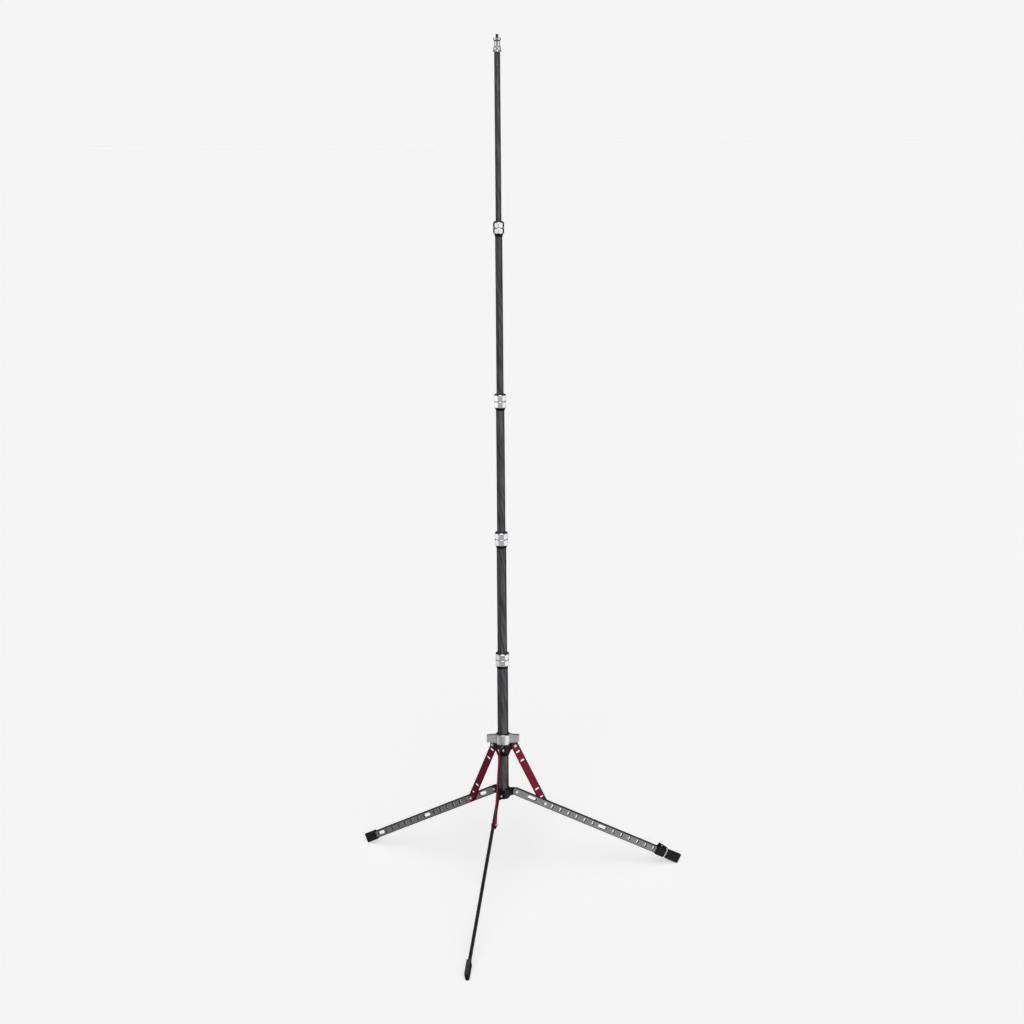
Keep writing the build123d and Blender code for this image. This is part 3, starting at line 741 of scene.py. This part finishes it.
# ------------------------------------------------------------------ struts
for side, L in LEGS.items():
    sl = L["sl"]
    outer = arc_slot(sl / 2, 0, sl + STRUT_W, STRUT_W, seg=20)
    holes = [arc_slot(s, 0, 10.4, 5.8, math.pi / 2, seg=8) for s in STRUT_SLOTS]
    holes += [circle(0, 0, 2.55, 32), circle(sl, 0, 2.5, 32)]
    # the side struts get a painted shade, a black band along their upper edge
    red = drawn_metal(f"strut_red_{side}", L["MS"], (0.24, 0.0165, 0.042), 0.36, var=0.16, worn=(0.60, 0.16, 0.22), wear=0.30,
                      half=None if side == "front" else STRUT_W / 2, band=2.9)
    plate(f"strut_bar_{side}", outer, holes, STRUT_Y[0], STRUT_Y[1], STRUT_ROUND, red, f"strut_{side}", L["MS"], [f"strut_{side}"],
          hole_b=0.45, bs=6)


# ------------------------------------------------------------------ legs: hollow bars, pierced side walls
def leg_shell(side, s_end, long_slots, solid_to, mat):
    L = LEGS[side]
    M = L["M"]
    y0, y1 = LEG_Y
    hl = LEG_H / 2
    b, hb, bs, w = LEG_ROUND, 0.3, 6, LEG_WALL
    seg = 18
    outer = []
    for k in range(seg + 1):                      # rounded inner end about the pivot
        a = math.pi / 2 + math.pi * k / seg
        outer.append((hl * math.cos(a), hl * math.sin(a), math.cos(a), math.sin(a)))
    outer += [(s_end, -hl, 0, -1), (s_end, hl, 0, 1)]
    holes = [arc_slot(s, 0, 24.4, 7.6, seg=10) for s in long_slots]
    holes += [arc_slot(s, 0, 10.6, 5.6, math.pi / 2, seg=8) for s in CROSS_SLOTS]
    pins = [circle(0, 0, 2.55, 28), circle(A_STRUT, 0, 2.5, 28)]
    ci = hl - w
    c0, c1 = solid_to, s_end
    cav = [(c0, -ci, 0, -1), (c1, -ci, 0, -1), (c1, ci, 0, 1), (c0, ci, 0, 1)]
    verts, norms, faces = [], [], []

    def ring(lp, y, off, ph, sg, sidey, inward=False):
        row = []
        for (x, z, nx, nz) in lp:
            nx, nz = nx * sg, nz * sg
            row.append(len(verts))
            verts.append((x - nx * off, y, z - nz * off))
            norms.append((nx * math.sin(ph), sidey * math.cos(ph), nz * math.sin(ph)))
        return row

    def strip(A, B, skip=None):
        n = len(A)
        for k in range(n):
            if k != skip:
                faces.append((A[k], A[(k + 1) % n], B[(k + 1) % n], B[k]))
    # outer rim; its flat outer end is left open
    kend = seg + 1
    caps_out = {1: [], -1: []}
    seqs = {}
    for sy in (1, -1):
        seq = []
        for q in range(bs + 1):
            ph = math.pi / 2 * q / bs
            dy = b * (1 - math.cos(ph))
            y = y1 - dy if sy > 0 else y0 + dy
            seq.append(ring(outer, y, b * (1 - math.sin(ph)), ph, 1, sy))
        caps_out[sy].append(seq[0])
        seqs[sy] = seq
    full = seqs[1] + list(reversed(seqs[-1]))
    for A, B in zip(full[:-1], full[1:]):
        strip(A, B, kend)
    # cavity shell: separate caps facing inwards
    caps_in = {}
    cav_rows = {}
    for sy in (1, -1):
        yi = (y1 - w) if sy > 0 else (y0 + w)
        row = []
        for (x, z, nx, nz) in cav:
            row.append(len(verts)); verts.append((x, yi, z)); norms.append((0, -sy, 0))
        caps_in[sy] = [row]
        row2 = []
        for (x, z, nx, nz) in cav:
            row2.append(len(verts)); verts.append((x, yi, z)); norms.append((0, 0, -nz))
        cav_rows[sy] = row2
    strip(cav_rows[1], cav_rows[-1], 1)
    # the cut end: tube wall between the rounded outline and the cavity
    rim = [r[kend] for r in full] + [r[kend + 1] for r in reversed(full)]
    mouth = [cav_rows[1][1], cav_rows[1][2], cav_rows[-1][2], cav_rows[-1][1]]
    wall = []
    for src in (rim, mouth):
        row = []
        for i in src:
            row.append(len(verts)); verts.append(verts[i]); norms.append((1, 0, 0))
        wall.append(row)
    flat = [i for r in wall for i in r]
    faces.extend(tuple(flat[i] for i in t) for t in cap_tris([[(verts[i][1], verts[i][2]) for i in r] for r in wall]))
    # slots through each wall, pins through both
    for sy in (1, -1):
        ys = y1 if sy > 0 else y0
        yi = ys - sy * w
        for lp in holes + ([pins[1]]):
            seq = []
            for q in range(bs):
                ph = math.pi / 2 * q / (bs - 1)
                seq.append(ring(lp, ys - sy * hb * (1 - math.cos(ph)), hb * (1 - math.sin(ph)), ph, -1, sy))
            inner = ring(lp, yi, 0.0, math.pi / 2, -1, sy)
            seq.append(inner)
            for A, B in zip(seq[:-1], seq[1:]):
                strip(A, B)
            caps_out[sy].append(seq[0])
            flat = []
            for i in inner:
                flat.append(len(verts)); verts.append(verts[i]); norms.append((0, -sy, 0))
            caps_in[sy].append(flat)
    lp = pins[0]
    sA = [ring(lp, y1 - hb * (1 - math.cos(math.pi / 2 * q / 3)), hb * (1 - math.sin(math.pi / 2 * q / 3)), math.pi / 2 * q / 3, -1, 1)
          for q in range(4)]
    sB = [ring(lp, y0 + hb * (1 - math.cos(math.pi / 2 * q / 3)), hb * (1 - math.sin(math.pi / 2 * q / 3)), math.pi / 2 * q / 3, -1, -1)
          for q in range(4)]
    for A, B in zip((sA + sB[::-1])[:-1], (sA + sB[::-1])[1:]):
        strip(A, B)
    caps_out[1].append(sA[0]); caps_out[-1].append(sB[0])
    for caps in (caps_out, caps_in):
        for sy in (1, -1):
            flat = [i for r in caps[sy] for i in r]
            loops = [[(verts[i][0], verts[i][2]) for i in r] for r in caps[sy]]
            faces.extend(tuple(flat[i] for i in t) for t in cap_tris(loops))
    return finish_mesh(f"leg_bar_{side}", verts, faces, norms, M, mat, f"leg_{side}", [f"leg_{side}"])


for side, L in LEGS.items():
    # painted shade on the legs: a black band along the upper edge and a black inside of the hollow bar
    grey = drawn_metal(f"leg_grey_{side}", L["M"], (0.30, 0.30, 0.315), 0.42, var=0.10, worn=(0.66, 0.66, 0.68), wear=0.25,
                       half=LEG_H / 2, band=3.6, mid=YMID, skin=((LEG_Y[1] - LEG_Y[0]) / 2 - 0.75, LEG_H / 2 - 0.75))
    leg_shell(side, 438.0 if side == "right" else 477.5, LONG_SLOTS[:2] if side == "right" else LONG_SLOTS, 13.0, grey)

# ------------------------------------------------------------------ rubber feet with a rolled lip, grip rings and a chamfered toe
S_END = None
for side, L in LEGS.items():
    lo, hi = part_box(f"foot_{side}")
    ext = []
    Mi = L["M"].inverted()
    for v in NODES[f"foot_{side}"].data.vertices:
        ext.append((Mi @ v.co).x / MM)
    s0, s1 = min(ext), max(ext)
    hy, hz = FOOT_T / 2, FOOT_H / 2
    sec = [(s0, hy - 1.3, hz - 1.3, 1.2), (s0 + 0.25, hy - 0.6, hz - 0.6, 1.3), (s0 + 0.8, hy - 0.15, hz - 0.15, 1.4),
           (s0 + 1.6, hy, hz, 1.5), (s0 + 3.2, hy, hz, 1.5), (s0 + 3.7, hy - 0.3, hz - 0.3, 1.4), (s0 + 4.3, hy - 0.3, hz - 0.3, 1.4),
           (s0 + 4.8, hy, hz, 1.5)]
    g = s1 - 18.0
    while g < s1 - 6.5:
        sec += [(g, hy, hz, 1.5), (g + 0.5, hy - 0.35, hz - 0.35, 1.4), (g + 1.0, hy - 0.35, hz - 0.35, 1.4), (g + 1.5, hy, hz, 1.5)]
        g += 3.4
    sec += [(s1 - 4.2, hy, hz, 1.5), (s1 - 3.0, hy - 0.15, hz, 1.5), (s1 - 2.4, hy - 0.6, hz, 1.4), (s1 - 1.0, hy - 1.8, hz - 0.05, 1.2),
            (s1 - 0.45, hy - 2.3, hz - 0.3, 1.0), (s1 - 0.12, hy - 2.7, hz - 0.6, 0.9), (s1, hy - 3.2, hz - 1.1, 0.8)]
    loft(f"rubber_foot_{side}", sec, RUBBER, "leveller" if side == "right" else f"leg_{side}", L["M"], [f"foot_{side}"],
         clamp=0.0, y_off=YMID, cs=6)


# ------------------------------------------------------------------ CAD pieces whose shape is right: finer edges and materials
def dress(node, mat, bevel=None, slot=None):
    o = NODES[node]
    o.data.materials.clear()
    o.data.materials.append(mat)
    if bevel:
        m = o.modifiers.new("edge", "BEVEL")
        m.width = bevel * MM
        m.segments = 3
        m.limit_method = "ANGLE"
        m.angle_limit = math.radians(32)
        m.harden_normals = True
        m.use_clamp_overlap = True
    return o


dress("hub_lower", BLACK_CAST, 0.6)
dress("collar_body", BLACK_CAST, 0.6)
dress("wing_knob", ALU_KNOB, 0.5)
dress("hub_plug", BLACK_MOULD, 0.2)
dress("leveller_clamp", BLACK_MOULD, 0.5)
dress("leveller_lever", BLACK_MOULD, 0.35)
dress("leveller_bar", BAR_GREY, 0.25)
dress("lever_pin", STEEL, 0.15)
dress("leg_pivot_bolts", STEEL, 0.35)
dress("leg_pivot_nuts", STEEL_DULL, 0.25)
dress("strut_top_bolts", STEEL, 0.35)
dress("strut_top_nuts", STEEL_DULL, 0.25)
for side in LEGS:
    dress(f"strut_lower_bolt_{side}", STEEL, 0.35)
    dress(f"leg_strut_nut_{side}", STEEL, 0.25)
for n in ("collar_bush", "collar_collet") + tuple(f"guide_bush_{i}" for i in range(2, 6)) + tuple(f"lock_collet_{i}" for i in range(1, 5)):
    dress(n, NYLON)
dress("top_plug", BAR_GREY)
zk = zspan("knob_ring")
lathe("knob_wiper", [(12.85, zk[0]), (14.6, zk[0]), (14.6, zk[0] + 1.2), (13.9, zk[1]), (12.85, zk[1])], [0.1, 0.1, 0.35, 0.35, 0.2],
      RUBBER, "knob", ["knob_ring"], seg=96)

# ------------------------------------------------------------------ camera
CX, D, H = 1.641, 4079.265, 1918.772
YAW, PITCHD, ROLL, F = math.radians(0.322), math.radians(13.691), math.radians(-0.419), 1860.712
fw = Vector((math.sin(YAW) * math.cos(PITCHD), math.cos(YAW) * math.cos(PITCHD), -math.sin(PITCHD)))
rt = Vector((math.cos(YAW), -math.sin(YAW), 0))
upv = rt.cross(fw)
r2 = rt * math.cos(ROLL) + upv * math.sin(ROLL)
u2 = -rt * math.sin(ROLL) + upv * math.cos(ROLL)
cam_data = bpy.data.cameras.new("camera")
cam_data.sensor_width = 36.0
cam_data.sensor_fit = "HORIZONTAL"
cam_data.lens = F * 36.0 / 1024.0
cam_data.clip_end = 100.0
cam = bpy.data.objects.new("camera", cam_data)
scene.collection.objects.link(cam)
cam.matrix_world = Matrix(((r2.x, u2.x, -fw.x, CX * MM), (r2.y, u2.y, -fw.y, -D * MM), (r2.z, u2.z, -fw.z, H * MM), (0, 0, 0, 1)))
scene.camera = cam

# ------------------------------------------------------------------ floor, light
FLOOR = 0.80
FLOOR_GLOW = 0.511
AMBIENT = 0.035
# soft panels: azimuth from, to, elevation from, to, softness of each, brightness
PANELS = [(32, 101, -42, 8, 8, 6, 1.08),
          (-101, -34, -15, 8, 8, 9, 1.08),
          (-104, -88, -42, 8, 5, 6, 0.75),
          (-28, 26, -50, 6, 7, 6, 0.30),
          (-18, 16, -15, -8, 5, 2.5, 0.30),
          (-18, 16, 16, 62, 7, 8, 3.4),
          (-50, 50, 66, 100, 12, 5, 1.5),
          (-190, 190, 82, 100, 5, 4, 0.9)]
SUNS = [("key", 15, 50, 0.6, 40)]

me = bpy.data.meshes.new("floor")
me.from_pydata([(-40, -40, 0), (40, -40, 0), (40, 40, 0), (-40, 40, 0)], [], [(0, 1, 2, 3)])
fm = bpy.data.materials.new("floor_pale")
fm.use_nodes = True
fm.node_tree.nodes.clear()
fd = fm.node_tree.nodes.new("ShaderNodeBsdfDiffuse")
fd.inputs["Color"].default_value = (FLOOR, FLOOR, FLOOR, 1)
fo = fm.node_tree.nodes.new("ShaderNodeOutputMaterial")
fe = fm.node_tree.nodes.new("ShaderNodeEmission")
fe.inputs["Color"].default_value = (1, 1, 1, 1)
fe.inputs["Strength"].default_value = FLOOR_GLOW
fa = fm.node_tree.nodes.new("ShaderNodeAddShader")
fm.node_tree.links.new(fd.outputs[0], fa.inputs[0])
fm.node_tree.links.new(fe.outputs[0], fa.inputs[1])
fm.node_tree.links.new(fa.outputs[0], fo.inputs[0])
me.materials.append(fm)
floor = bpy.data.objects.new("floor", me)
scene.collection.objects.link(floor)
# the studio's soft light comes from all round, so the floor only takes light and shadow
floor.visible_glossy = False
floor.visible_diffuse = False
floor.visible_shadow = False

world = bpy.data.worlds.new("studio")
scene.world = world
world.use_nodes = True
wt = world.node_tree
wt.nodes.clear()
tc = wt.nodes.new("ShaderNodeTexCoord")
sp = wt.nodes.new("ShaderNodeSeparateXYZ")
wt.links.new(tc.outputs["Generated"], sp.inputs[0])


def wmath(op, a, b=None):
    n = wt.nodes.new("ShaderNodeMath")
    n.operation = op
    for k, v in enumerate((a, b)):
        if v is None:
            continue
        if isinstance(v, (int, float)):
            n.inputs[k].default_value = v
        else:
            wt.links.new(v, n.inputs[k])
    return n.outputs[0]


def wstep(v, lo, hi, rising=True):
    n = wt.nodes.new("ShaderNodeMapRange")
    n.interpolation_type = "SMOOTHSTEP"
    wt.links.new(v, n.inputs["Value"])
    n.inputs["From Min"].default_value = lo
    n.inputs["From Max"].default_value = hi
    n.inputs["To Min"].default_value = 0.0 if rising else 1.0
    n.inputs["To Max"].default_value = 1.0 if rising else 0.0
    return n.outputs["Result"]


# azimuth of the light in degrees: 0 in front (-Y), positive to the right (+X); elevation in degrees
az = wmath("MULTIPLY", wmath("ARCTAN2", sp.outputs["X"], wmath("MULTIPLY", sp.outputs["Y"], -1.0)), 180 / math.pi)
el = wmath("MULTIPLY", wmath("ARCSINE", sp.outputs["Z"]), 180 / math.pi)
total = None
for a0, a1, e0, e1, soft_a, soft_e, level in PANELS:
    f = wmath("MULTIPLY", wstep(az, a0 - soft_a, a0 + soft_a), wstep(az, a1 - soft_a, a1 + soft_a, False))
    g = wmath("MULTIPLY", wstep(el, e0 - soft_e, e0 + soft_e), wstep(el, e1 - soft_e, e1 + soft_e, False))
    p = wmath("MULTIPLY", wmath("MULTIPLY", f, g), level)
    total = p if total is None else wmath("ADD", total, p)
total = wmath("ADD", total, AMBIENT)
bg = wt.nodes.new("ShaderNodeBackground")
bg.inputs[0].default_value = (1.0, 1.0, 1.0, 1)
wt.links.new(total, bg.inputs[1])
bgc = wt.nodes.new("ShaderNodeBackground")
bgc.inputs[0].default_value = (0.913, 0.913, 0.913, 1)
bgc.inputs[1].default_value = 1.0
lp = wt.nodes.new("ShaderNodeLightPath")
mx = wt.nodes.new("ShaderNodeMixShader")
wo = wt.nodes.new("ShaderNodeOutputWorld")
wt.links.new(lp.outputs["Is Camera Ray"], mx.inputs[0])
wt.links.new(bg.outputs[0], mx.inputs[1])
wt.links.new(bgc.outputs[0], mx.inputs[2])
wt.links.new(mx.outputs[0], wo.inputs[0])


def sun(name, az_deg, el_deg, strength, angle):
    d = bpy.data.lights.new(name, "SUN")
    d.energy = strength
    d.angle = math.radians(angle)
    o = bpy.data.objects.new(name, d)
    scene.collection.objects.link(o)
    a, e = math.radians(az_deg), math.radians(el_deg)
    v = Vector((math.sin(a) * math.cos(e), -math.cos(a) * math.cos(e), math.sin(e)))
    o.location = v * 5
    o.rotation_euler = (-v).to_track_quat("-Z", "Y").to_euler()
    return o


for args in SUNS:
    sun(*args)
scene.view_settings.view_transform = "Standard"
scene.view_settings.look = "None"

bpy.context.view_layer.update()
